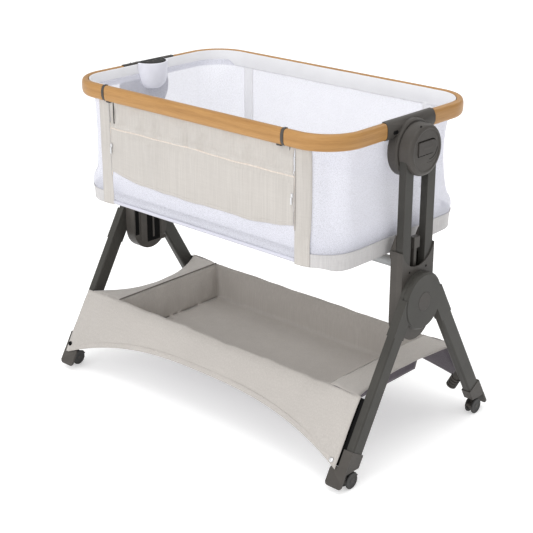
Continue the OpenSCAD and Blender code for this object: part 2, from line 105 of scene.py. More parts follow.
class Nodes:
    """Short ways to build a node tree."""

    def __init__(self, name):
        self.mat = bpy.data.materials.new(name)
        self.mat.use_nodes = True
        self.tree = self.mat.node_tree
        self.shader = self.tree.nodes["Principled BSDF"]
        self.coords = self.tree.nodes.new("ShaderNodeTexCoord")

    def add(self, kind, inputs=(), **settings):
        node = self.tree.nodes.new(kind)
        for key, value in settings.items():
            setattr(node, key, value)
        for key, value in dict(inputs).items():
            if isinstance(value, bpy.types.NodeSocket):
                self.tree.links.new(value, node.inputs[key])
            else:
                node.inputs[key].default_value = value
        return node

    def link(self, source, socket):
        self.tree.links.new(source, self.shader.inputs[socket])

    def fix(self, values):
        """Sets constants on the shader's own sockets."""
        for socket, value in values.items():
            self.shader.inputs[socket].default_value = value

    def stretched(self, scale, source="Object"):
        where = self.coords.outputs[source]
        return self.add("ShaderNodeMapping", {"Vector": where, "Scale": scale}).outputs[0]

    def noise(self, vector, scale, detail=3.0, rough=0.5):
        return self.add("ShaderNodeTexNoise", {
            "Vector": vector, "Scale": scale, "Detail": detail, "Roughness": rough}).outputs["Fac"]

    def ramp(self, fac, stops):
        node = self.add("ShaderNodeValToRGB", {"Fac": fac})
        ramp = node.color_ramp
        while len(ramp.elements) < len(stops):
            ramp.elements.new(0.5)
        for element, (pos, colour) in zip(ramp.elements, stops):
            element.position = pos
            element.color = (*colour, 1) if len(colour) == 3 else colour
        return node.outputs["Color"]

    def maths(self, operation, a, b, clamp=False):
        return self.add("ShaderNodeMath", {0: a, 1: b}, operation=operation, use_clamp=clamp).outputs[0]

    def span(self, value, low, high):
        return self.add("ShaderNodeMapRange", {"Value": value, "To Min": low, "To Max": high}).outputs[0]

    def mix(self, fac, a, b, blend="MIX"):
        node = self.add("ShaderNodeMix", data_type="RGBA", blend_type=blend)
        for index, value in ((0, fac), (6, a), (7, b)):
            if isinstance(value, bpy.types.NodeSocket):
                self.tree.links.new(value, node.inputs[index])
            else:
                node.inputs[index].default_value = value if index == 0 else (*value, 1)
        return node.outputs[2]

    def bump(self, height, strength, distance):
        node = self.add("ShaderNodeBump", {"Height": height, "Strength": strength, "Distance": distance})
        self.link(node.outputs[0], "Normal")


def dimmed(colour, share):
    return tuple(c * share for c in colour)


def plastic(name, colour, rough=0.42, grain=0.18, edge_light=0.25, shine=0.45):
    """Moulded plastic or powder coat: fine texture, soft colour drift and a painted highlight on sharp edges.
    """
    n = Nodes(name)
    here = n.coords.outputs["Object"]
    drift = n.noise(here, 9.0, 4.0)
    base = n.ramp(drift, [(0.3, dimmed(colour, 0.88)), (0.7, dimmed(colour, 1.12))])
    # Sharp convex edges are mixed towards a lighter copy of the colour: a painted highlight along the edges.
    edge = n.add("ShaderNodeNewGeometry").outputs["Pointiness"]
    edge_highlight = n.maths("MULTIPLY", n.ramp(edge, [(0.52, (0, 0, 0)), (0.6, (1, 1, 1))]),
                   n.span(n.noise(here, 60.0), 0.0, edge_light), True)
    n.link(n.mix(edge_highlight, base, dimmed(colour, 2.2)) if edge_light else base, "Base Color")
    n.link(n.span(n.noise(here, 120.0), rough - 0.06, rough + 0.08), "Roughness")
    n.bump(n.noise(here, 1400.0, 2.0), grain, 0.0004)
    n.fix({"Specular IOR Level": shine})
    return n.mat


def oak():
    """Satin oak-look finish with the grain running along each rail."""
    n = Nodes("rim_oak")
    along = n.stretched((5.0, 110.0, 1.0), "UV")
    fibre = n.stretched((30.0, 900.0, 1.0), "UV")
    bands = n.noise(along, 1.0, 5.0, 0.62)
    pores = n.noise(fibre, 1.0, 3.0, 0.7)
    base = n.ramp(bands, [(0.25, (0.35, 0.172, 0.048)), (0.45, (0.41, 0.212, 0.064)),
                          (0.62, (0.465, 0.248, 0.080)), (0.8, (0.39, 0.198, 0.058))])
    streak = n.ramp(pores, [(0.36, (0.72, 0.66, 0.6)), (0.5, (1, 1, 1))])
    n.link(n.mix(0.5, base, streak, "MULTIPLY"), "Base Color")
    n.link(n.span(bands, 0.36, 0.52), "Roughness")
    n.bump(pores, 0.12, 0.0004)
    n.fix({"Specular IOR Level": 0.35, "Coat Weight": 0.12, "Coat Roughness": 0.3})
    return n.mat


def weave(name, colour, light, threads=1100.0, heather=0.5, rough=0.9):
    """Woven cloth: threads both ways, slubs and streaks along the warp, and a soft sheen."""
    n = Nodes(name)
    warp = n.noise(n.stretched((420.0, 420.0, 7.0)), 1.0, 3.0, 0.6)
    weft = n.noise(n.stretched((30.0, 30.0, 700.0)), 1.0, 2.0, 0.6)
    cloud = n.noise(n.coords.outputs["Object"], 7.0, 3.0)
    fleck = n.maths("ADD", n.maths("MULTIPLY", warp, 0.72), n.maths("MULTIPLY", weft, 0.28))
    base = n.ramp(fleck, [(0.36, dimmed(colour, 1 - 0.22 * heather)), (0.5, colour), (0.66, light)])
    soft = n.ramp(cloud, [(0.3, (0.94, 0.94, 0.94)), (0.7, (1, 1, 1))])
    n.link(n.mix(1.0, base, soft, "MULTIPLY"), "Base Color")
    fine = [n.add("ShaderNodeTexWave", {"Vector": n.coords.outputs["Object"], "Scale": threads / 6.28,
                                        "Distortion": 1.2, "Detail": 1.0},
                  bands_direction=d).outputs["Fac"] for d in ("X", "Z")]
    n.bump(n.maths("ADD", n.maths("MULTIPLY", fine[0], fine[1]), n.maths("MULTIPLY", fleck, 1.5)),
           0.35, 0.0006)
    n.fix({"Roughness": rough, "Sheen Weight": 0.25, "Sheen Roughness": 0.5})
    return n.mat


def netting(name, colour, cover):
    """Open knitted mesh with small round holes."""
    n = Nodes(name)
    cells = {"Vector": n.coords.outputs["Object"], "Scale": 650.0, "Randomness": 1.0}
    holes = n.add("ShaderNodeTexVoronoi", cells, feature="F1").outputs["Distance"]
    yarn = n.ramp(holes, [(0.2, (0, 0, 0)), (0.5, (1, 1, 1))])
    drift = n.noise(n.coords.outputs["Object"], 5.0, 2.0)
    n.link(n.ramp(drift, [(0.3, dimmed(colour, 0.96)), (0.7, colour)]), "Base Color")
    n.link(n.maths("ADD", n.maths("MULTIPLY", yarn, 0.3), cover - 0.2, True), "Alpha")
    n.bump(yarn, 0.12, 0.0004)
    # A faint glow in the net's own colour: painted light that brightens the net beyond its lighting.
    n.fix({"Roughness": 0.8, "Sheen Weight": 0.2, "Emission Color": (*colour, 1),
           "Emission Strength": 0.11})
    return n.mat


def knit(name, colour):
    """Soft knitted cover with a fine quilted ripple."""
    n = Nodes(name)
    here = n.coords.outputs["Object"]
    n.link(n.ramp(n.noise(here, 14.0, 4.0), [(0.3, dimmed(colour, 0.95)), (0.7, colour)]), "Base Color")
    cells = n.add("ShaderNodeTexVoronoi", {"Vector": here, "Scale": 700.0}, feature="F1").outputs["Distance"]
    n.bump(n.maths("ADD", cells, n.noise(here, 40.0, 4.0)), 0.25, 0.0008)
    n.fix({"Roughness": 0.92, "Sheen Weight": 0.3})
    return n.mat


def brushed(name, colour):
    """Bright metal with fine brushing."""
    n = Nodes(name)
    lines = n.noise(n.stretched((40.0, 900.0, 900.0)), 1.0, 3.0)
    n.link(n.ramp(lines, [(0.3, dimmed(colour, 0.85)), (0.7, colour)]), "Base Color")
    n.link(n.span(lines, 0.25, 0.4), "Roughness")
    n.fix({"Metallic": 1.0})
    n.bump(lines, 0.08, 0.0003)
    return n.mat


DARK = (0.070, 0.064, 0.058)
MATS = {
    "dark_plastic": plastic("dark_plastic", DARK, 0.38, shine=0.18),
    "dark_metal": plastic("dark_metal", (0.052, 0.050, 0.045), 0.34, 0.1, 0.15, 0.16),
    "button_plastic": plastic("button_plastic", (0.056, 0.050, 0.045), 0.42, 0.1, shine=0.25),
    "grey_metal": plastic("grey_metal", (0.36, 0.37, 0.38), 0.3, 0.06),
    "rim_oak": oak(),
    "linen": weave("linen", (0.53, 0.50, 0.468), (0.57, 0.54, 0.506), 1100.0, 0.28),
    "hem_tape": weave("hem_tape", (0.56, 0.545, 0.545), (0.62, 0.605, 0.60), 1100.0, 0.3),
    "linen_light": weave("linen_light", (0.70, 0.62, 0.55), (0.78, 0.71, 0.64)),
    "canvas": weave("canvas", (0.49, 0.46, 0.43), (0.535, 0.505, 0.475), 900.0, 0.25),
    # A darker copy of the canvas, used as painted shade along a crease.
    "canvas_crease_shade": weave("canvas_crease_shade", (0.17, 0.155, 0.14), (0.2, 0.185, 0.17), 900.0, 0.3),
    # Dark purple-grey cloth: painted shade for the shadowed side of the basket cloth.
    "shaded_underside": weave("shaded_underside", (0.095, 0.078, 0.095), (0.12, 0.10, 0.12), 900.0, 0.3),
    "white_mesh": netting("white_mesh", (0.66, 0.665, 0.74), 0.62),
    "white_cloth": knit("white_cloth", (0.82, 0.82, 0.84)),
    "hem_lilac": knit("hem_lilac", (0.60, 0.60, 0.68)),
    "mattress_cover": knit("mattress_cover", (0.84, 0.84, 0.86)),
    "board": plastic("board", (0.6, 0.6, 0.6), 0.6),
    "white_plastic": plastic("white_plastic", (0.78, 0.78, 0.84), 0.35, 0.04, 0.0),
    "black_plastic": plastic("black_plastic", (0.014, 0.014, 0.014), 0.45, 0.05, shine=0.1),
    "wheel_plastic": plastic("wheel_plastic", (0.03, 0.029, 0.028), 0.55, 0.3),
    "snap": brushed("snap", (0.75, 0.75, 0.76)),
    # Near-black: the colour of some real black parts, and also painted shade in slots, holes, recesses and
    # gaps.
    "black": plastic("black", (0.008, 0.008, 0.008), 0.8, 0.2, 0.0, 0.05),
}


# ------------------------------------------------------------ mesh helpers

def link_mesh(name, mesh, material, body=None):
    """Puts a mesh in the scene, with its material, body and slot."""
    obj = bpy.data.objects.new(name, mesh)
    scene.collection.objects.link(obj)
    mesh.materials.append(MATS[material])
    if body:
        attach(obj, body)
    return obj


def hard_piece(name, bm, material, body):
    """A crisp-edged piece from a bmesh, which is freed."""
    mesh = bpy.data.meshes.new(name)
    bm.to_mesh(mesh)
    bm.free()
    obj = link_mesh(name, mesh, material, body)
    sharpen(obj)
    return obj


def new_object(name, verts, faces, material, body, uvs=None):
    """A smooth piece from points and faces."""
    mesh = bpy.data.meshes.new(name)
    mesh.from_pydata([tuple(map(float, v)) for v in verts], [], [tuple(map(int, f)) for f in faces])
    if uvs is not None:
        layer = mesh.uv_layers.new(name="UVMap")
        for loop in mesh.loops:
            layer.data[loop.index].uv = uvs[loop.vertex_index]
    mesh.update()
    bm = bmesh.new()
    bm.from_mesh(mesh)
    bmesh.ops.recalc_face_normals(bm, faces=bm.faces)
    bm.to_mesh(mesh)
    bm.free()
    mesh.shade_smooth()
    return link_mesh(name, mesh, material, body)


def sharpen(obj, angle=38):
    """Keeps edges sharper than angle crisp, and shades the rest smoothly."""
    mesh = obj.data
    mesh.shade_smooth()
    bm = bmesh.new()
    bm.from_mesh(mesh)
    for edge in bm.edges:
        edge.smooth = len(edge.link_faces) != 2 or edge.calc_face_angle(0) < math.radians(angle)
    bm.to_mesh(mesh)
    bm.free()
    modifier = obj.modifiers.new("weighted", "WEIGHTED_NORMAL")
    modifier.keep_sharp = True


def end_caps(rows, columns):
    """Faces over the first and the last row of a closed grid."""
    return [tuple(range(columns)), tuple(range((rows - 1) * columns, rows * columns))]


def grid_faces(rows, columns, closed=False):
    """Four-sided faces between the rows of a grid, joined round at the ends if closed."""
    wrap = columns if closed else columns - 1
    return [(i * columns + j, i * columns + (j + 1) % columns,
             (i + 1) * columns + (j + 1) % columns, (i + 1) * columns + j)
            for i in range(rows - 1) for j in range(wrap)]


def sheet_mesh(name, points, material, body, thick=0.0, closed=False):
    """A cloth surface from a grid of points, with an optional thickness."""
    rows, columns = points.shape[:2]
    obj = new_object(name, points.reshape(-1, 3), grid_faces(rows, columns, closed), material, body)
    if thick:
        solid = obj.modifiers.new("thick", "SOLIDIFY")
        solid.thickness = thick
        solid.offset = 0
    return obj


def soften(node, width, material, segments=2):
    """A copy of a CAD node with rounded edges, which stands for it."""
    source = frame["nodes"][node]
    bm = bmesh.new()
    bm.from_mesh(source.data)
    bmesh.ops.remove_doubles(bm, verts=bm.verts, dist=2e-6)
    bmesh.ops.dissolve_limit(bm, angle_limit=math.radians(1.0), verts=bm.verts, edges=bm.edges)
    edges = [e for e in bm.edges if len(e.link_faces) == 2 and e.calc_face_angle(0) > math.radians(32)]
    bmesh.ops.bevel(bm, geom=edges, offset=width, segments=segments, affect="EDGES",
                    profile=0.6, clamp_overlap=True)
    body = next(name for name, empty in frame["bodies"].items() if source.parent is empty)
    obj = hard_piece(node + "_shell", bm, material, body)
    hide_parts(node)


def smooth_step(x):
    x = np.clip(x, 0, 1)
    return x * x * (3 - 2 * x)


def ripple(x, seed, octaves=4):
    """A smooth repeatable wander from -1 to 1, made of sines."""
    rng = np.random.default_rng(seed)
    total = sum(0.62 ** k * np.sin(x * (1.0 + k * 1.7) * (0.8 + 0.4 * rng.random()) + 6.28 * rng.random())
                for k in range(octaves))
    return total / sum(0.62 ** k for k in range(octaves))


def round_rect(shape, s):
    """Points and outward normals of a round rectangle, s metres round it from the middle of the +X side."""
    hx, hy, r = shape
    a, b, q = hy - r, 2 * (hx - r), math.pi * r / 2
    length = 4 * a + 2 * b + 4 * q
    s = np.mod(np.asarray(s, float), length)
    marks = np.cumsum([0, a, q, b, q, 2 * a, q, b, q, a])
    x, y, nx, ny = (np.zeros_like(s) for _ in range(4))
    straights = ((0, (hx, 0), (0, 1), (1, 0)), (2, (hx - r, hy), (-1, 0), (0, 1)),
                 (4, (-hx, hy - r), (0, -1), (-1, 0)), (6, (-hx + r, -hy), (1, 0), (0, -1)),
                 (8, (hx, -hy + r), (0, 1), (1, 0)))
    for k, start, way, out in straights:
        on = (s >= marks[k]) & (s <= marks[k + 1])
        t = s[on] - marks[k]
        x[on], y[on] = start[0] + way[0] * t, start[1] + way[1] * t
        nx[on], ny[on] = out
    for k, sx, sy, turn in ((1, 1, 1, 0), (3, -1, 1, 90), (5, -1, -1, 180), (7, 1, -1, 270)):
        on = (s > marks[k]) & (s < marks[k + 1])
        t = (s[on] - marks[k]) / r + math.radians(turn)
        nx[on], ny[on] = np.cos(t), np.sin(t)
        x[on], y[on] = sx * (hx - r) + r * np.cos(t), sy * (hy - r) + r * np.sin(t)
    return np.stack([x, y], -1), np.stack([nx, ny], -1)


def perimeter(shape):
    hx, hy, r = shape
    return 4 * (hy - r) + 4 * (hx - r) + 2 * math.pi * r


def front_s(shape, x):
    """How far round the rectangle the front side is at x."""
    hx, hy, r = shape
    return 3 * (hy - r) + 2 * (hx - r) + 1.5 * math.pi * r + x + hx - r


def end_s(shape, side, y):
    """How far round the rectangle an end is at y, for side 1 or -1."""
    hx, hy, r = shape
    if side > 0:
        return y if y >= 0 else perimeter(shape) + y
    return 2 * (hx - r) + math.pi * r + 2 * (hy - r) - y


def spaced(a, b, step):
    """Even steps from a to b, about step apart."""
    return np.linspace(a, b, max(2, int(round(abs(b - a) / step)) + 1))


def turns(count):
    """Even angles round a whole turn."""
    return np.linspace(0, 2 * math.pi, count, endpoint=False)


# --------------------------------------------------------------------- rim

def rim_profile():
    """Closed outline of the rim covers, as distance out and height."""
    half = RIM_HEIGHT / 2
    turn = np.radians(np.linspace(-90, 90, 21))
    bulge = 0.0085
    outer = [(bulge * (math.cos(t) ** 0.7 - 1), half * math.copysign(abs(math.sin(t)) ** 0.72, t))
             for t in turn]
    inner = []
    for corner, angles in ((1, (90, 120, 150, 180)), (-1, (180, 210, 240, 270))):
        for angle in angles:
            t = math.radians(angle)
            inner.append((-RIM_DEPTH + 0.004 + 0.004 * math.cos(t),
                          corner * (half - 0.004) + 0.004 * math.sin(t)))
    return np.array(outer + inner)


def rim_cover(name, s0, s1, body, *nodes):
    profile = rim_profile()
    middle = profile.mean(0)
    s = np.concatenate([[s0 + 0.0002], spaced(s0 + 0.0012, s1 - 0.0012, 0.006), [s1 - 0.0002]])
    centre, out = round_rect(RIM, s)
    around = np.concatenate([[0], np.cumsum(np.linalg.norm(np.diff(profile, axis=0), axis=1))])
    verts, uvs = [], []
    for i in range(len(s)):
        last = i in (0, len(s) - 1)
        ring = middle + (profile - middle) * (0.93 if last else 1.0)
        for (d, h), v in zip(ring, around):
            verts.append((*(centre[i] + out[i] * d), RIM_TOP - RIM_HEIGHT / 2 + h))
            uvs.append((s[i], v))
    n = len(profile)
    faces = grid_faces(len(s), n, closed=True) + end_caps(len(s), n)
    obj = new_object(name, verts, faces, "rim_oak", body, uvs)
    sharpen(obj, 50)
    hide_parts(*nodes)


def make_rim():
    rim_cover("rim_wood_back", BRACKET_Y, end_s(RIM, -1, BRACKET_Y), "cot", "rim_cover_back")
    gap_x = DROP_X + 0.0086
    rim_cover("rim_wood_front_right", front_s(RIM, gap_x), end_s(RIM, 1, -BRACKET_Y), "cot",
              "rim_cover_front_right")
    rim_cover("rim_wood_front_left", end_s(RIM, -1, -BRACKET_Y), front_s(RIM, -gap_x), "cot",
              "rim_cover_front_left")
    rim_cover("drop_rail_wood", front_s(RIM, -DROP_X), front_s(RIM, DROP_X), "drop_side", "drop_rail_cover")


# -------------------------------------------------------------- cot fabric

WALL_Z = np.array([0.484, 0.503, 0.514, 0.540, 0.566, 0.600, 0.640, 0.670, 0.729, 0.760])
WALL_OUT = np.array([-0.005, -0.004, -0.001, 0.004, -0.004, -0.011, -0.015, -0.015, -0.010, -0.004])


def wall_out(z):
    """How far the end walls stand out: drawn in at the waist and pressed out by the mattress."""
    fine = np.linspace(WALL_Z[0], WALL_Z[-1], 200)
    values = np.interp(fine, WALL_Z, WALL_OUT)
    kernel = np.hanning(23)
    padded = np.pad(values, 11, mode="edge")
    return np.interp(z, fine, np.convolve(padded, kernel / kernel.sum(), mode="valid"))


def wall_points(s, z, extra=0.0):
    """A grid on the cot wall: s metres round it, z up it, extra metres outside it."""
    centre, out = round_rect(WALL, s)
    share = 0.06 + 0.94 * smooth_step((np.abs(centre[:, 0]) - 0.315) / 0.075)
    corner = corner_share(s)[None, :] * smooth_step((z - 0.515) / 0.06)[:, None]
    corner = corner * smooth_step((0.765 - z) / 0.06)[:, None]
    wave = 0.0010 * ripple(np.asarray(s)[None, :] * 17 + z[:, None] * 14, 5)
    depth = wall_out(z)[:, None] * share[None, :] - 0.015 * corner + wave + extra
    xy = centre[None] + out[None] * depth[..., None]
    return np.concatenate([xy, np.broadcast_to(z[:, None, None], (*depth.shape, 1))], -1)


def tape_on_wall(name, s0, s1, low, extra, material, thick, ridges=(), step=0.004):
    """An upright tape sewn to the wall, with stitched ridges along it."""
    s, z = spaced(s0, s1, step), spaced(low, 0.742, 0.004)
    points = wall_points(s, z, extra)
    _, out = round_rect(WALL, s)
    for at in ridges:
        bulge = 0.0009 * np.exp(-((s - s0 - at) / 0.0022) ** 2)
        points[..., :2] += (out * bulge[:, None])[None]
    return sheet_mesh(name, points, material, "cot", thick)


def hem_low(s):
    """Lower edge of the hem, which sags at the two ends."""
    centre, _ = round_rect(WALL, s)
    end = smooth_step((np.abs(centre[:, 0]) - 0.36) / 0.04)
    return HEM_LOW - 0.009 * end + 0.0012 * ripple(np.asarray(s) * 21, 15, 3) * end


def corner_share(s):
    """1 in the middle of each corner, 0 on the straights."""
    _, out = round_rect(WALL, s)
    return (2 * np.abs(out[:, 0] * out[:, 1])) ** 2


def make_cot_fabric():
    """Net walls with their hem, lining, tapes and underside."""
    start, stop = front_s(WALL, 0.307), front_s(WALL, -0.275) + perimeter(WALL)
    s, z = spaced(start, stop, 0.011), spaced(0.500, 0.752, 0.009)
    net = sheet_mesh("cot_net_wall", wall_points(s, z), "white_mesh", "cot")
    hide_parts("cot_fabric")

    s, t = spaced(front_s(WALL, 0.325), front_s(WALL, -0.290) + perimeter(WALL), 0.006), np.linspace(0, 1, 12)
    low, points = hem_low(s), []
    for share in t:
        row = np.array([wall_points(s[i:i + 1], np.array([low[i] + (HEM_TOP - low[i]) * share]), 0.0014)[0, 0]
                        for i in range(len(s))])
        points.append(row)
    hem = sheet_mesh("cot_hem", np.array(points), "hem_tape", "cot", 0.001)

    lining_s = spaced(start, stop, 0.008)
    z = spaced(0.737, 0.7755, 0.0035)
    centre, out = round_rect(WALL, lining_s)
    low = np.clip((z - z[0]) / 0.004, 0, 1)[:, None]
    depth = -0.0018 - 0.0022 * np.sin(np.linspace(0, math.pi, len(z)))[:, None] \
        - 0.0012 * (1 - low) + 0.001 * ripple(lining_s * 31, 9)[None, :]
    xy = centre[None] + out[None] * depth[..., None]
    points = np.concatenate([xy, np.broadcast_to(z[:, None, None], (*depth.shape, 1))], -1)
    lining = sheet_mesh("rim_lining", points, "white_cloth", "cot", 0.0012)

    for side, sx in ENDS:
        edges = (0.3065, 0.3445) if sx > 0 else (-0.2735, -0.3095)
        tape = tape_on_wall(f"wall_strip_{side}", front_s(WALL, edges[0]), front_s(WALL, edges[1]),
                            HEM_LOW + 0.001, 0.0026, "linen", 0.0014, (0.006, 0.019, 0.033), 0.002)
        back = perimeter(WALL) - front_s(WALL, sx * 0.287)
        inner = tape_on_wall(f"wall_tape_back_{side}", back - 0.015, back + 0.015, 0.535, -0.002,
                             "white_cloth", 0.001)

    s = spaced(0, perimeter(WALL), 0.02)[:-1]
    rings = []
    for share, drop in ((1.0, 0.0), (0.985, -0.0012), (0.93, 0.0), (0.6, 0.0003), (0.25, 0.0005),
                        (0.02, 0.0006)):
        inset = (1 - share) * 0.24
        shape = (WALL[0] - 0.0055 - inset * 1.6, WALL[1] - 0.0035 - inset, max(0.002, WALL[2] * share))
        xy, _ = round_rect(shape, s * perimeter(shape) / perimeter(WALL))
        edge = hem_low(s) if share > 0.9 else HEM_LOW - 0.003
        rings.append(np.column_stack([xy, edge + 0.001 + drop + np.zeros(len(xy))]))
    under = sheet_mesh("cot_underside", np.array(rings), "canvas", "cot", closed=True)


def make_mattress():
    """Foam mattress: swelled by cloth simulation, with rounded edges."""
    low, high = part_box("mattress")
    hx, hy, height = high.x - 0.004, high.y - 0.004, high.z - low.z
    shape = (hx, hy, 0.072)
    s = spaced(0, perimeter(shape), 0.03)[:-1]
    rings = []
    for inset, z in ((0.30, 0), (0.012, 0), (0.004, 0.002), (0.0, 0.008), (0.0, height - 0.016),
                     (0.004, height - 0.010), (0.012, height - 0.008), (0.30, height - 0.008)):
        xy, out = round_rect(shape, s)
        if inset > 0.1:
            xy = xy * (1 - inset * 2.2)
        else:
            xy = xy - out * inset
        rings.append(np.column_stack([xy, np.full(len(xy), low.z + z)]))
    points = np.array(rings)
    n = len(s)
    faces = grid_faces(len(rings), n, closed=True) + end_caps(len(rings), n)
    pad = new_object("mattress_pad", points.reshape(-1, 3), faces, "mattress_cover", None)
    voxel = pad.modifiers.new("voxels", "REMESH")
    voxel.mode = "VOXEL"
    voxel.voxel_size = 0.010
    apply_modifiers(pad)
    swell(pad, limit=0.006)
    co = np.array([v.co for v in pad.data.vertices])
    co[:, 2] = np.clip(co[:, 2], low.z, high.z)
    bound = np.array([high.x, high.y])
    co[:, :2] = np.clip(co[:, :2], -bound, bound)
    top = co[:, 2] > (low.z + high.z) / 2
    co[top, 2] -= 0.0015 * (1 + ripple(co[top, 0] * 21 + 2 * np.sin(co[top, 1] * 17), 3))
    pad.data.vertices.foreach_set("co", co.ravel())
    pad.data.update()
    pad.modifiers.new("fine", "SUBSURF").levels = 1
    pad.modifiers["fine"].render_levels = 1
    pad.data.shade_smooth()
    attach(pad, "cot")
    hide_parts("mattress")


def apply_modifiers(obj):
    """Keeps what an object's modifiers make, and removes them."""
    bpy.context.view_layer.update()
    graph = bpy.context.evaluated_depsgraph_get()
    mesh = bpy.data.meshes.new_from_object(obj.evaluated_get(graph))
    obj.modifiers.clear()
    obj.data = mesh


def swell(obj, limit):
    """Blows the pad up a little as cloth, and keeps each point within limit of its start."""
    before = np.array([v.co for v in obj.data.vertices])
    cloth = obj.modifiers.new("swell", "CLOTH")
    cloth.settings.use_pressure = True
    cloth.settings.uniform_pressure_force = 4
    cloth.settings.effector_weights.gravity = 0
    cloth.point_cache.frame_start, cloth.point_cache.frame_end = 1, 20
    for number in range(1, 21):
        scene.frame_set(number)
    graph = bpy.context.evaluated_depsgraph_get()
    after = np.array([v.co for v in obj.evaluated_get(graph).data.vertices])
    obj.modifiers.clear()
    scene.frame_set(1)
    step = after - before
    size = np.linalg.norm(step, axis=1, keepdims=True)
    final = before + step * np.minimum(1, limit / np.maximum(size, 1e-9))
    obj.data.vertices.foreach_set("co", final.ravel())
    obj.data.update()


# -------------------------------------------------------------- drop panel

PANEL_X = 0.2890
PANEL_MID = 0.0165
SEAM_Z = 0.677


def panel_low(x):
    """Lower edge of the linen panel, which curves up at both ends."""
    return 0.553 + 0.019 * np.abs((x - PANEL_MID) / 0.297) ** 4


def panel_y(x, z):
    """The linen hangs in soft folds above the seam and lies smoother below it."""
    above = smooth_step((z - SEAM_Z) / 0.010) * smooth_step((0.745 - z) / 0.03)
    below = smooth_step((SEAM_Z - z) / 0.02)
    folds = ripple(x * 46 + 0.35 * np.sin(z * 40), 11, 3)
    reach = np.abs(x - PANEL_MID)
    tucks = np.exp(-((reach - 0.262) / 0.010) ** 2) - 0.7 * np.exp(-((reach - 0.242) / 0.012) ** 2)
    centre = np.exp(-((x + 0.015) / 0.006) ** 2)
    low = ripple(x * 19 + z * 9, 23, 3)
    y = -0.2462 - above * (0.0060 * folds + 0.0036 * tucks - 0.0030 * centre)
    y -= below * (0.0016 + 0.0020 * low + 0.0010 * folds)
    y -= 0.0026 * np.exp(-((z - SEAM_Z - 0.008) / 0.007) ** 2) * (1 + 0.5 * ripple(x * 90, 31, 2))
    return y


def bowed_band(name, x, z, y, bow, material, thick):
    """A level band of cloth on the drop side, bowed between its two edges."""
    gx, gz = np.meshgrid(x, z)
    gy = y + bow * np.sin((gz - z[0]) / (z[-1] - z[0]) * math.pi)
    return sheet_mesh(name, np.stack([gx, gy, gz], -1), material, "drop_side", thick)


def make_drop_panel():
    """The linen and net panel under the drop rail, with its zips and seams."""
    x = PANEL_MID + spaced(-PANEL_X, PANEL_X, 0.004)
    z_share = np.linspace(0, 1, 60)
    grid_x = np.broadcast_to(x[None, :], (60, len(x)))
    low = panel_low(x) + 0.0015 * ripple(x * 30, 41, 2)
    grid_z = low[None, :] + (0.744 - low[None, :]) * z_share[:, None]
    linen = sheet_mesh("drop_linen", np.stack([grid_x, panel_y(grid_x, grid_z), grid_z], -1),
                       "linen", "drop_side", 0.0012)
    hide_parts("drop_panel")

    wander = 0.0022 * ripple(x * 14, 51, 3)
    seam_y = panel_y(x, np.full_like(x, SEAM_Z)) - 0.0005
    tube_strip("drop_seam", np.column_stack([x, seam_y, SEAM_Z + wander]), 0.0013, 0.0020,
               "linen_light", "drop_side")
    hem = low + 0.007
    tube_strip("drop_linen_hem", np.column_stack([x, panel_y(x, hem) - 0.0004, hem]), 0.0007, 0.0011,
               "linen", "drop_side")
    upright = spaced(0.683, 0.742, 0.004)
    fold = np.full_like(upright, -0.014)
    tube_strip("drop_centre_fold", np.column_stack([fold, panel_y(fold, upright) - 0.0002, upright]),
               0.0006, 0.0008, "linen", "drop_side")

    x = PANEL_MID + spaced(-PANEL_X - 0.001, PANEL_X + 0.001, 0.010)
    gx, gz = np.meshgrid(x, spaced(0.494, 0.600, 0.008))
    gy = -0.2440 - 0.0008 * ripple(gx * 12, 61, 3) - 0.0012 * np.sin((gz - 0.5) / 0.1 * math.pi)
    net = sheet_mesh("drop_net", np.stack([gx, gy, gz], -1), "white_mesh", "drop_side")
    hem = bowed_band("drop_hem", x, spaced(0.4880, 0.4960, 0.002), -0.2452, -0.0012, "hem_lilac", 0.0012)
    lining = bowed_band("drop_lining", spaced(-0.274, 0.274, 0.010), spaced(0.737, 0.774, 0.004),
                        -0.2425, 0.002, "white_cloth", 0.001)

    for side, sx in ENDS:
        upper, lower = spaced(0.688, 0.740, 0.004), spaced(0.560, 0.688, 0.004)
        # The upper strip is black: painted shade in the open slit beside the zip.
        for part, z, material, out in (("slit", upper, "black", 0.0026),
                                       ("coil", lower, "linen_light", 0.0020)):
            px = np.full_like(z, PANEL_MID + sx * (0.2760 if part == "slit" else 0.2895))
            tube_strip(f"zip_{part}_{side}", np.column_stack([px, np.full_like(z, -0.2455) - out * 0.4, z]),
                       0.0012, 0.0011, material, "drop_side")
        teeth = [(PANEL_MID + sx * 0.2912, -0.2476, z) for z in spaced(0.560, 0.735, 0.003)]
        dots(f"zip_teeth_{side}", teeth, 0.0009, "grey_metal", "drop_side")
        zip_pull(f"zip_pull_{side}", PANEL_MID + sx * 0.2850, 0.630 if sx > 0 else 0.628)


def tube_strip(name, line, across, along, material, body, sides=8):
    """A flattened cord or stitched ridge along a line on a front face."""
    tangent = np.gradient(line, axis=0)
    tangent /= np.linalg.norm(tangent, axis=1, keepdims=True)
    out = np.array([0, -1, 0])
    side = np.cross(tangent, out)
    side /= np.linalg.norm(side, axis=1, keepdims=True)
    turn = turns(sides)
    rings = (line[:, None] + across * np.cos(turn)[None, :, None] * out
             + along * np.sin(turn)[None, :, None] * side[:, None])
    faces = grid_faces(len(line), sides, closed=True) + end_caps(len(line), sides)
    return new_object(name, rings.reshape(-1, 3), faces, material, body)


def dots(name, centres, radius, material, body):
    """A row of small balls."""
    bm = bmesh.new()
    for centre in centres:
        bmesh.ops.create_icosphere(bm, subdivisions=1, radius=radius, matrix=Matrix.Translation(centre))
    mesh = bpy.data.meshes.new(name)
    bm.to_mesh(mesh)
    bm.free()
    mesh.shade_smooth()
    link_mesh(name, mesh, material, body)


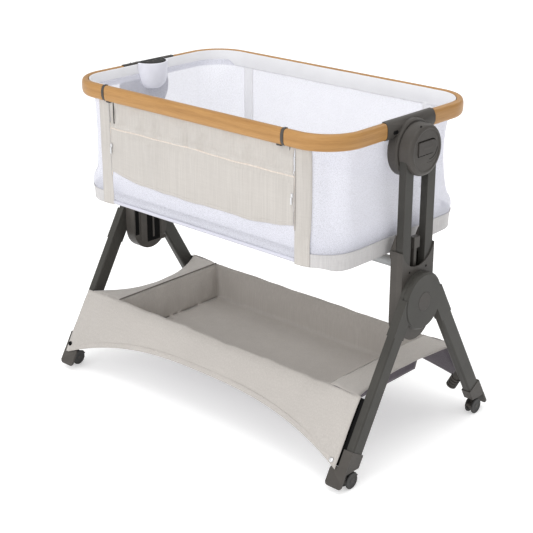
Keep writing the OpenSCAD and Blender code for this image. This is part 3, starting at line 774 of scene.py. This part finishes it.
def zip_pull(name, x, z):
    """Slider and tab of a zip."""
    bm = bmesh.new()
    for size, at in (((0.006, 0.004, 0.009), (x, -0.2492, z + 0.006)),
                     ((0.005, 0.0016, 0.016), (x - 0.001, -0.2516, z - 0.006))):
        matrix = Matrix.Translation(at) @ Matrix.Diagonal((*size, 1))
        bmesh.ops.create_cube(bm, size=1.0, matrix=matrix)
    bmesh.ops.bevel(bm, geom=bm.edges[:], offset=0.0007, segments=2, affect="EDGES")
    hard_piece(name, bm, "snap", "drop_side")


# --------------------------------------------------------------------- pod

def make_pod():
    """White control pod inside the left-hand end, with its dark lid and a few keys."""
    x0 = -0.398
    rings = []
    for z, r in ((0.710, 0.004), (0.7102, 0.015), (0.712, 0.023), (0.718, 0.031), (0.728, 0.037),
                 (0.742, 0.0405), (0.760, 0.042), (0.7778, 0.0435), (0.7786, 0.0425)):
        turn = np.radians(np.linspace(-90, 90, 33))
        rings.append([(x0 + r * math.cos(t), r * math.sin(t), z) for t in turn])
    points = np.array(rings)
    count, n = points.shape[:2]
    faces = grid_faces(count, n) + end_caps(count, n)
    faces.append(tuple(i * n for i in range(count)) + tuple(i * n + n - 1 for i in reversed(range(count))))
    body = new_object("pod_case", points.reshape(-1, 3), faces, "white_plastic", "cot")
    sharpen(body, 50)
    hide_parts("pod_body")
    rings = []
    for z, r in ((0.7780, 0.0372), (0.7786, 0.0380), (0.7797, 0.0380), (0.7803, 0.0372)):
        turn = np.radians(np.linspace(-90, 90, 33))
        outline = [(x0 + 0.001 + r * math.cos(t), r * math.sin(t), z) for t in turn]
        rings.append(outline + [(x0 - 0.006, r, z), (x0 - 0.006, -r, z)])
    points = np.array(rings)
    count, n = points.shape[:2]
    faces = grid_faces(count, n, closed=True) + end_caps(count, n)
    lid = new_object("pod_top_plate", points.reshape(-1, 3), faces, "black_plastic", "cot")
    sharpen(lid, 50)
    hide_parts("pod_lid")
    keys = [(x0 + 0.012 + 0.005 * (k % 2), -0.021 + 0.014 * k, 0.7804) for k in range(4)]
    bm = bmesh.new()
    for key in keys:
        bmesh.ops.create_cone(bm, cap_ends=True, segments=20, radius1=0.0036, radius2=0.003, depth=0.0008,
                              matrix=Matrix.Translation(key))
    hard_piece("pod_keys", bm, "button_plastic", "cot")


# ------------------------------------------------------------------ basket

def leg_y(z, p=SKIRT_P):
    """Y of the sloping plane that the skirt lies in, at height z."""
    return p / math.cos(LEG_ANGLE) + (HUB_Z - z) * math.tan(LEG_ANGLE)


def skirt_low(x):
    """Height of a skirt's arched lower edge."""
    return 0.045 + 0.074 * (1 - np.minimum(1, np.abs(x / 0.457)) ** 2.6)


def border_out(y, sx):
    """Outer edge of the end borders, scooped in between the legs."""
    t = np.clip(y / 0.182, -1, 1)
    base = 0.392 if sx < 0 else 0.410
    tip = 0.447 if sx < 0 else 0.441
    return sx * (base + (tip - base) * np.abs(t) ** 2.2)


def make_basket():
    """One sewn basket: a sagging pocket, end borders and the skirts over the legs."""
    verts, faces = [], []

    def add(points):
        start = len(verts)
        rows, columns = points.shape[:2]
        verts.extend(points.reshape(-1, 3))
        faces.extend(tuple(start + i for i in f) for f in grid_faces(rows, columns))

    # Floor
    x, y = spaced(-POCKET_X, POCKET_X, 0.016), spaced(-POCKET_Y, POCKET_Y, 0.016)
    gx, gy = np.meshgrid(x, y)
    sag = (1 - (gx / POCKET_X) ** 4) * (1 - (gy / POCKET_Y) ** 4)
    add(np.stack([gx * TAPER, gy * TAPER, POCKET_LOW + 0.004 * (1 - sag)
                  + 0.0008 * ripple(gx * 11 + gy * 7, 71)], -1))
    # Long walls, bowed a little inwards and creased near the corners
    t = np.linspace(0, 1, 12)
    for sy in (-1, 1):
        gx, gt = np.meshgrid(x, t)
        bow = 0.004 * np.sin(gt * math.pi) * (1 - (gx / POCKET_X) ** 6)
        crease = 0.0015 * ripple(gx * 40, 81 + sy, 3) * np.sin(gt * math.pi)
        top_edge = 0.0022 * ripple(gx * 24, 91 + sy, 3) * gt
        slope = TAPER + (1 - TAPER) * gt
        z = POCKET_LOW + (BASKET_Z - POCKET_LOW) * gt + top_edge + 0.004 * (1 - gt)
        add(np.stack([gx * slope, sy * (POCKET_Y * slope - bow + crease), z], -1))
    # End walls, with soft upright folds
    y = spaced(-POCKET_Y, POCKET_Y, 0.010)
    for sx in (-1, 1):
        gy, gt = np.meshgrid(y, t)
        fold = 0.0035 * ripple(gy * 55, 101 + sx, 4) * np.sin(gt * math.pi)
        bow = 0.006 * np.sin(gt * math.pi) * (1 - (gy / POCKET_Y) ** 4)
        slope = TAPER + (1 - TAPER) * gt
        z = POCKET_LOW + 0.004 * (1 - gt) + (BASKET_Z - POCKET_LOW) * gt
        add(np.stack([sx * (POCKET_X * slope - bow) + fold, gy * slope, z], -1))
    # End borders
    u = np.linspace(0, 1, 10)
    for sx in (-1, 1):
        y = spaced(-0.182, 0.182, 0.010)
        gy, gu = np.meshgrid(y, u)
        outer = border_out(gy, sx)
        bx = sx * POCKET_X + (outer - sx * POCKET_X) * gu
        droop = -0.010 * gu * (1 - (gy / 0.182) ** 2)
        add(np.stack([bx, gy * (POCKET_Y + (0.182 - POCKET_Y) * gu) / 0.182, BASKET_Z + droop
                      + 0.001 * ripple(gy * 25 + gu * 3, 111 + sx, 3)], -1))
    # Skirts
    x = spaced(-0.448, 0.446, 0.008)
    v = np.linspace(0, 1, 26)
    for sy in (-1, 1):
        left = 0.465 if sy < 0 else 0.448
        gx, gv = np.meshgrid(np.where(x < 0, x * left / 0.448, x), v)
        low = skirt_low(gx)
        top = BASKET_Z + 0.0022 * ripple(gx * 24, 91 + sy, 3)
        z = top + (low - top) * gv
        lean = np.maximum(0, np.abs(gx) - 0.34) / 0.12
        folds = 0.0025 * lean * ripple(gx * 60 + z * 14, 121 + sy, 3) * np.sin(gv * math.pi)
        soft = 0.0012 * ripple(gx * 17 + z * 8, 131 + sy, 3) * np.sin(gv * math.pi)
        roll = (0.0088 - 0.006 * smooth_step((np.abs(gx) - POCKET_X) / 0.03)) * np.exp(-(gv * 12))
        hem = 0.0009 * np.exp(-((gv - 0.93) / 0.02) ** 2)
        add(np.stack([gx, sy * (leg_y(z) + folds + soft - roll + hem), z], -1))
    obj = new_object("basket_cloth", verts, faces, "canvas", None)
    bm = bmesh.new()
    bm.from_mesh(obj.data)
    bmesh.ops.remove_doubles(bm, verts=bm.verts, dist=0.0012)
    bmesh.ops.recalc_face_normals(bm, faces=bm.faces)
    bm.to_mesh(obj.data)
    bm.free()
    obj.data.shade_smooth()
    solid = obj.modifiers.new("thick", "SOLIDIFY")
    solid.thickness = 0.0013
    solid.offset = 0
    # The second face of the cloth shell takes the dark purple-grey: painted shade where the basket's
    # underside and inner faces show.
    obj.data.materials.append(MATS["shaded_underside"])
    solid.material_offset = 1
    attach(obj, "stand")
    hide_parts("storage_basket", "basket_skirts")
    trims = []
    # Stitched hems round the pocket and along the skirts
    for sy in (-1, 1):
        xs = spaced(-0.43, 0.43, 0.008)
        zs = skirt_low(xs) + 0.011
        line = np.column_stack([xs, sy * (leg_y(zs) + 0.0010), zs])
        trims.append(seam(f"skirt_hem_{'front' if sy < 0 else 'back'}", line, 0.0008))
        xs = spaced(-POCKET_X, POCKET_X, 0.008)
        line = np.column_stack([xs, np.full_like(xs, sy * (POCKET_Y - 0.0012)),
                                np.full_like(xs, BASKET_Z - 0.012)])
        trims.append(seam(f"pocket_hem_{'front' if sy < 0 else 'back'}", line, 0.0009))
    for side, sx in ENDS:
        ys = spaced(-POCKET_Y, POCKET_Y, 0.008)
        line = np.column_stack([np.full_like(ys, sx * POCKET_X), ys, np.full_like(ys, BASKET_Z + 0.0012)])
        # The left pocket edge is thicker and in a darker copy of the canvas: a painted shade line along its
        # crease.
        trims.append(seam(f"pocket_edge_{side}", line, 0.0017 if sx < 0 else 0.0009,
                          "canvas_crease_shade" if sx < 0 else "canvas"))
        for name, sy in (("front", -1), ("back", 1)):
            zs = spaced(POCKET_LOW + 0.006, BASKET_Z - 0.001, 0.006)
            slope = TAPER + (1 - TAPER) * (zs - POCKET_LOW) / (BASKET_Z - POCKET_LOW)
            line = np.column_stack([sx * (POCKET_X * slope - 0.001), sy * (POCKET_Y * slope - 0.001), zs])
            trims.append(seam(f"pocket_corner_{side}_{name}", line, 0.0014))
    for name, x, z, material in (("left", -0.4585, 0.0645, "black"), ("right", 0.4306, 0.0648, "snap")):
        for sy in (-1, 1):
            at = (x, sy * (leg_y(z) + 0.0024), z)
            trims.append(snap(f"snap_{name}_{'front' if sy < 0 else 'back'}", at, sy, material))
    for piece in [obj, *trims]:
        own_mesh(piece)


def seam(name, line, radius, material="canvas", body="stand"):
    """A thin round seam along a line."""
    tangent = np.gradient(line, axis=0)
    tangent /= np.linalg.norm(tangent, axis=1, keepdims=True)
    up = np.array([0.3, 0.2, 1.0]) if abs(tangent[0, 2]) < 0.8 else np.array([1.0, 0.2, 0])
    side = np.cross(tangent, up)
    side /= np.linalg.norm(side, axis=1, keepdims=True)
    other = np.cross(tangent, side)
    turn = turns(6)
    rings = line[:, None] + radius * (np.cos(turn)[None, :, None] * side[:, None]
                                      + np.sin(turn)[None, :, None] * other[:, None])
    faces = grid_faces(len(line), 6, closed=True) + end_caps(len(line), 6)
    return new_object(name, rings.reshape(-1, 3), faces, material, body)


def snap(name, at, sy, material):
    """A domed press stud, square to the skirt."""
    profile = ((0.0, 0.0022), (0.003, 0.0021), (0.0048, 0.0015), (0.0056, 0.0006), (0.0060, -0.0006))
    turn = turns(20)
    verts = []
    for r, h in profile[1:]:
        verts += [(r * math.cos(t), r * math.sin(t), h) for t in turn]
    verts.append((0, 0, profile[0][1]))
    faces = grid_faces(len(profile) - 1, 20, closed=True)
    faces += [(i, (i + 1) % 20, len(verts) - 1) for i in range(20)]
    faces.append(tuple(range((len(profile) - 2) * 20, (len(profile) - 1) * 20)))
    normal = Vector((0, sy * math.cos(LEG_ANGLE), math.sin(LEG_ANGLE)))
    turned = normal.to_track_quat("Z", "Y").to_matrix()
    placed = [turned @ Vector(v) + Vector(at) for v in verts]
    return new_object(name, placed, faces, material, "stand")


# -------------------------------------------------------------------- legs

def lathe_x(name, profile, centre, sx, material, body, slot, *nodes, segments=72):
    """Turns a closed (radius, x) profile round an axis along X."""
    turn = turns(segments)
    verts = [(sx * x, centre[0] + r * math.cos(t), centre[1] + r * math.sin(t))
             for r, x in profile for t in turn]
    count = len(profile)
    faces = [(i * segments + j, i * segments + (j + 1) % segments,
              ((i + 1) % count) * segments + (j + 1) % segments, ((i + 1) % count) * segments + j)
             for i in range(count) for j in range(segments)]
    obj = new_object(name, verts, faces, material, body)
    sharpen(obj, 40)
    if nodes:
        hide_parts(*nodes)
    return obj


# ------------------------------------------------------------------ wheels

def make_wheels(name, sx, sy):
    """Two wheels with rounded, ribbed treads and dished hubs."""
    cx, cy, cz = 0.46225, 0.239, 0.019
    for label, s in (("inner", -1), ("outer", 1)):
        x0 = cx + s * 0.0062
        x1 = cx + s * 0.0109
        w = x1 - x0
        tread = ((0.0032, 0), (0.0165, 0), (0.0182, 0.08), (0.019, 0.22), (0.019, 0.42), (0.0186, 0.46),
                 (0.0186, 0.54), (0.019, 0.58), (0.019, 0.78), (0.0182, 0.93), (0.0165, 1), (0.0135, 1),
                 (0.0128, 0.88), (0.0070, 0.88), (0.0062, 0.98), (0.0032, 0.98))
        profile = [(r, x0 + share * w) for r, share in tread]
        obj = lathe_x(f"wheel_{label}_{name}", profile, (sy * cy, cz), sx, "wheel_plastic", f"wheels_{name}",
                      "wheel_plastic", segments=48)
        if s > 0:
            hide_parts(f"wheels_{name}")
    axle = [(0.0002, cx - 0.0108), (0.003, cx - 0.0108), (0.003, cx + 0.0108), (0.0002, cx + 0.0108)]
    lathe_x(f"wheel_axle_{name}", axle, (sy * cy, cz), sx, "button_plastic", f"wheels_{name}",
            "wheel_plastic", segments=24)


# -------------------------------------------------------------- hard parts

def small_disc(name, at, radius, sx, material, body, proud=0.0003, long=0.0):
    """A shallow round or slot-shaped disc on an end face: a screw head, or a black disc painted as the shade
    in a slot or hole.
    """
    turn = turns(24)
    rings = []
    for r, h in ((1.0, -0.0006), (1.0, proud * 0.5), (0.88, proud), (0.3, proud)):
        rings.append([(sx * (at[0] + h), at[1] + r * radius * math.cos(t) + math.copysign(long, math.cos(t)),
                       at[2] + r * radius * math.sin(t)) for t in turn])
    points = np.array(rings)
    faces = grid_faces(4, 24, closed=True) + end_caps(4, 24)
    sharpen(new_object(name, points.reshape(-1, 3), faces, material, body), 40)


def plate(name, low, high, sx, material, body, bevel):
    """A small rounded block between two corners, given for the right-hand side."""
    centre = [(a + b) / 2 for a, b in zip(low, high)]
    size = [b - a for a, b in zip(low, high)]
    bm = bmesh.new()
    bmesh.ops.create_cube(bm, size=1.0, matrix=Matrix.Translation((sx * centre[0], *centre[1:]))
                          @ Matrix.Diagonal((*size, 1)))
    bmesh.ops.bevel(bm, geom=bm.edges[:], offset=bevel, segments=2, affect="EDGES")
    hard_piece(name, bm, material, body)


def shade_band(name, sx, sy):
    """A black sheet along the leg: painted shade in the gap between the skirt and the leg."""
    lines = []
    for x in (0.4572, 0.4425):
        for s in spaced(0.245, 0.401, 0.012):
            p = 0.0640 if x > 0.45 else 0.0665
            lines.append((sx * x, sy * (p * math.cos(LEG_ANGLE) + s * math.sin(LEG_ANGLE)),
                          HUB_Z + p * math.sin(LEG_ANGLE) - s * math.cos(LEG_ANGLE)))
    points = np.array(lines).reshape(2, -1, 3)
    sheet_mesh(f"skirt_shade_band_{name}", points, "black", f"leg_{name}", 0.0012)


def column_ribs(side, sx):
    """Ribs on the inner face of a column, and black plates laid on it as painted shade in the slots between
    them.
    """
    # The black entries are thin plates painted as shade in the slots; the dark plastic ones are the ribs.
    for number, (y0, y1, z0, out, material) in enumerate((
            (-0.054, -0.041, 0.318, 0.0003, "black"), (-0.036, -0.016, 0.297, 0.0016, "dark_plastic"),
            (-0.013, 0.032, 0.290, 0.0003, "black"), (0.036, 0.044, 0.300, 0.0016, "dark_plastic"),
            (0.006, 0.012, 0.300, 0.0012, "dark_plastic"))):
        plate(f"column_rib_{number}_{side}", (0.419 - out, y0, z0), (0.4205, y1, 0.470), sx, material,
              "stand", min(0.0005, out))
    plate(f"column_catch_{side}", (0.4165, 0.036, 0.286), (0.4300, 0.054, 0.294), sx, "dark_plastic",
          "stand", 0.002)


def make_hard_parts():
    """Rounded plastic and metal pieces, with their screws, ribs, painted shade bands along the legs and
    wheels.
    """
    for side, sx in ENDS:
        for node, width, material, segments in (
                ("column_outer", 0.0018, "dark_plastic", 3), ("column_inner", 0.0012, "dark_plastic", 2),
                ("post_tubes", 0.0028, "dark_metal", 3), ("hub_bracket", 0.0012, "dark_plastic", 3),
                ("height_latch", 0.0010, "dark_plastic", 2), ("tilt_button", 0.0012, "button_plastic", 3),
                ("fold_button", 0.0012, "button_plastic", 3), ("rail_release", 0.0012, "button_plastic", 2),
                ("rear_stop", 0.0012, "dark_plastic", 2)):
            soften(f"{node}_{side}", width, material, segments)
        make_hub(side, sx)
        # The slot is a black disc: painted shade inside the bracket's slot, ringed by its collar.
        small_disc(f"bracket_slot_{side}", (0.4205, -0.058, 0.7545), 0.0042, sx, "black", "cot", long=0.0045)
        small_disc(f"bracket_collar_{side}", (0.4203, -0.058, 0.7545), 0.0062, sx, "button_plastic", "cot",
                   long=0.0045)
        plate(f"tilt_grip_{side}", (0.4612, -0.0150, 0.7135), (0.4622, 0.0190, 0.7185), sx, "button_plastic",
              f"tilt_button_{side}", 0.0004)
        column_ribs(side, sx)
        for way, s in (("front", -1), ("back", 1)):
            small_disc(f"column_screw_{side}_{way}", (0.4497, s * 0.030, 0.4395), 0.0030, sx,
                       "black", "stand")
    for name, sx, sy in CORNERS:
        soften(f"leg_{name}", 0.0022, "dark_metal", 3)
        # A black sheet as painted shade between the skirt and the leg.
        shade_band(name, sx, sy)
        soften(f"foot_cap_{name}", 0.0032, "dark_plastic", 3)
        soften(f"caster_{name}", 0.0010, "dark_plastic")
        soften(f"brake_{name}", 0.0009, "dark_plastic")
        make_wheels(name, sx, sy)
        edge = sorted((sy * 0.2157, sy * 0.2197))
        plate(f"brake_pedal_{name}", (0.4540, edge[0], 0.0225), (0.4705, edge[1], 0.0265), sx, "dark_plastic",
              f"brake_{name}", 0.0012)
    soften("drop_rail_ends", 0.0012, "dark_plastic")
    for node in ("crossbar", "rim_tube", "drop_rail_tube", "base_ring", "base_board"):
        obj = frame["nodes"][node]
        obj.data.materials.clear()
        obj.data.materials.append(MATS["board" if node == "base_board" else "grey_metal"])


def make_hub(side, sx):
    """Round hub housing, dished inside its rim, with a recess round the tilt button whose walls are painted
    black as shade.
    """
    x1 = 0.461
    profile = [(0.0102, 0.4290), (0.057, 0.4290), (0.057, 0.4520), (0.0562, 0.4553),
               (0.0545, 0.4580), (0.0520, 0.4600), (0.0490, x1), (0.0468, x1), (0.0458, 0.4605),
               (0.0450, 0.4594), (0.0102, 0.4594), (0.0102, 0.4440)]
    hub = lathe_x(f"hub_{side}", profile, (0, 0.711), sx, "dark_plastic", f"post_{side}", "dark_plastic",
                  f"hub_housing_{side}")
    outline = []
    for angle in range(-90, 91, 10):
        t = math.radians(angle)
        outline.append((0.018 + 0.0168 * math.cos(t), 0.718 + 0.0168 * math.sin(t)))
    outline += [(-0.0305, 0.7348), (-0.0305, 0.7012)]
    count = len(outline)
    verts = [(sx * x, y, z) for x in (0.4482, 0.4650) for y, z in outline]
    faces = grid_faces(2, count, closed=True) + end_caps(2, count)
    # The cutter's black material passes to the recess walls and floor: painted shade in the groove round the
    # tilt button.
    cutter = new_object("cutter", verts, faces, "black", None)
    hub.data.materials.append(MATS["black"])
    cut = hub.modifiers.new("recess", "BOOLEAN")
    cut.object, cut.operation, cut.solver, cut.material_mode = cutter, "DIFFERENCE", "EXACT", "TRANSFER"
    plug = [(0.0002, 0.4300), (0.0101, 0.4300), (0.0101, 0.4484), (0.0002, 0.4484)]
    hub.modifiers.move(len(hub.modifiers) - 1, 0)
    apply_modifiers(hub)
    bpy.data.objects.remove(cutter)
    sharpen(hub, 35)
    lathe_x(f"hub_core_{side}", plug, (0, 0.711), sx, "dark_plastic", f"post_{side}", "dark_plastic",
            segments=32)
    # The inner arc is black: a painted shadow line along the lower right of the step; the outer arc is button
    # plastic.
    for number, (radius, start, end) in enumerate(((0.0265, -10, -95), (0.0335, 2, -105))):
        turn = np.radians(np.linspace(start, end, 30))
        line = np.column_stack([np.full(30, sx * 0.4594), 0.013 + radius * np.cos(turn),
                                0.7165 + radius * np.sin(turn)])
        seam(f"hub_step_{number}_{side}", line, 0.0006, "black" if number == 0 else "button_plastic",
             f"post_{side}")
    # A black disc as painted shade in the hole in the hub's rim.
    small_disc(f"hub_rim_hole_{side}", (0.4552, -0.018, 0.7655), 0.0022, sx, "black", f"post_{side}", 0.0008)


# ------------------------------------------------------------------- stage

def make_stage():
    """Pale floor, soft studio lights and a world that is brighter from above and the front."""
    mesh = bpy.data.meshes.new("floor")
    bm = bmesh.new()
    bmesh.ops.create_grid(bm, x_segments=1, y_segments=1, size=12)
    bm.to_mesh(mesh)
    bm.free()
    floor = bpy.data.objects.new("floor", mesh)
    scene.collection.objects.link(floor)
    n = Nodes("floor")
    n.fix({"Base Color": (0.85, 0.85, 0.85, 1), "Roughness": 0.9, "Specular IOR Level": 0.1,
           "Emission Color": (1, 1, 1, 1), "Emission Strength": 0.42})
    mesh.materials.append(n.mat)
    world = bpy.data.worlds.new("world")
    world.use_nodes = True
    tree = world.node_tree
    coords = tree.nodes.new("ShaderNodeTexCoord")
    toward = tree.nodes.new("ShaderNodeVectorMath")
    toward.operation = "DOT_PRODUCT"
    toward.inputs[1].default_value = (-0.20, -0.60, 0.77)
    rise = tree.nodes.new("ShaderNodeMapRange")
    for socket, value in (("From Min", -0.5), ("From Max", 0.9), ("To Min", 0.42), ("To Max", 1.0)):
        rise.inputs[socket].default_value = value
    tree.links.new(coords.outputs["Generated"], toward.inputs[0])
    tree.links.new(toward.outputs["Value"], rise.inputs["Value"])
    tree.links.new(rise.outputs[0], tree.nodes["Background"].inputs["Strength"])
    tree.nodes["Background"].inputs["Color"].default_value = (1, 1, 1, 1)
    scene.world = world
    for name, place, aim, size, power in (
            ("key", (0.1, -3.1, 2.0), (0, 0, 0.45), 1.8, 26),
            ("top", (0.7, -0.4, 3.4), (0, 0, 0.5), 1.6, 17),
            ("back", (0.2, 2.8, 2.6), (0, 0, 0.6), 2.2, 18)):
        light = bpy.data.lights.new(name, "AREA")
        light.size = size
        light.energy = power
        lamp = bpy.data.objects.new(name, light)
        scene.collection.objects.link(lamp)
        lamp.location = place
        lamp.rotation_euler = (Vector(aim) - Vector(place)).to_track_quat("-Z", "Y").to_euler()
    scene.view_settings.view_transform = "Standard"


make_camera()
make_stage()
make_rim()
make_hard_parts()
make_cot_fabric()
make_drop_panel()
make_mattress()
make_pod()
make_basket()
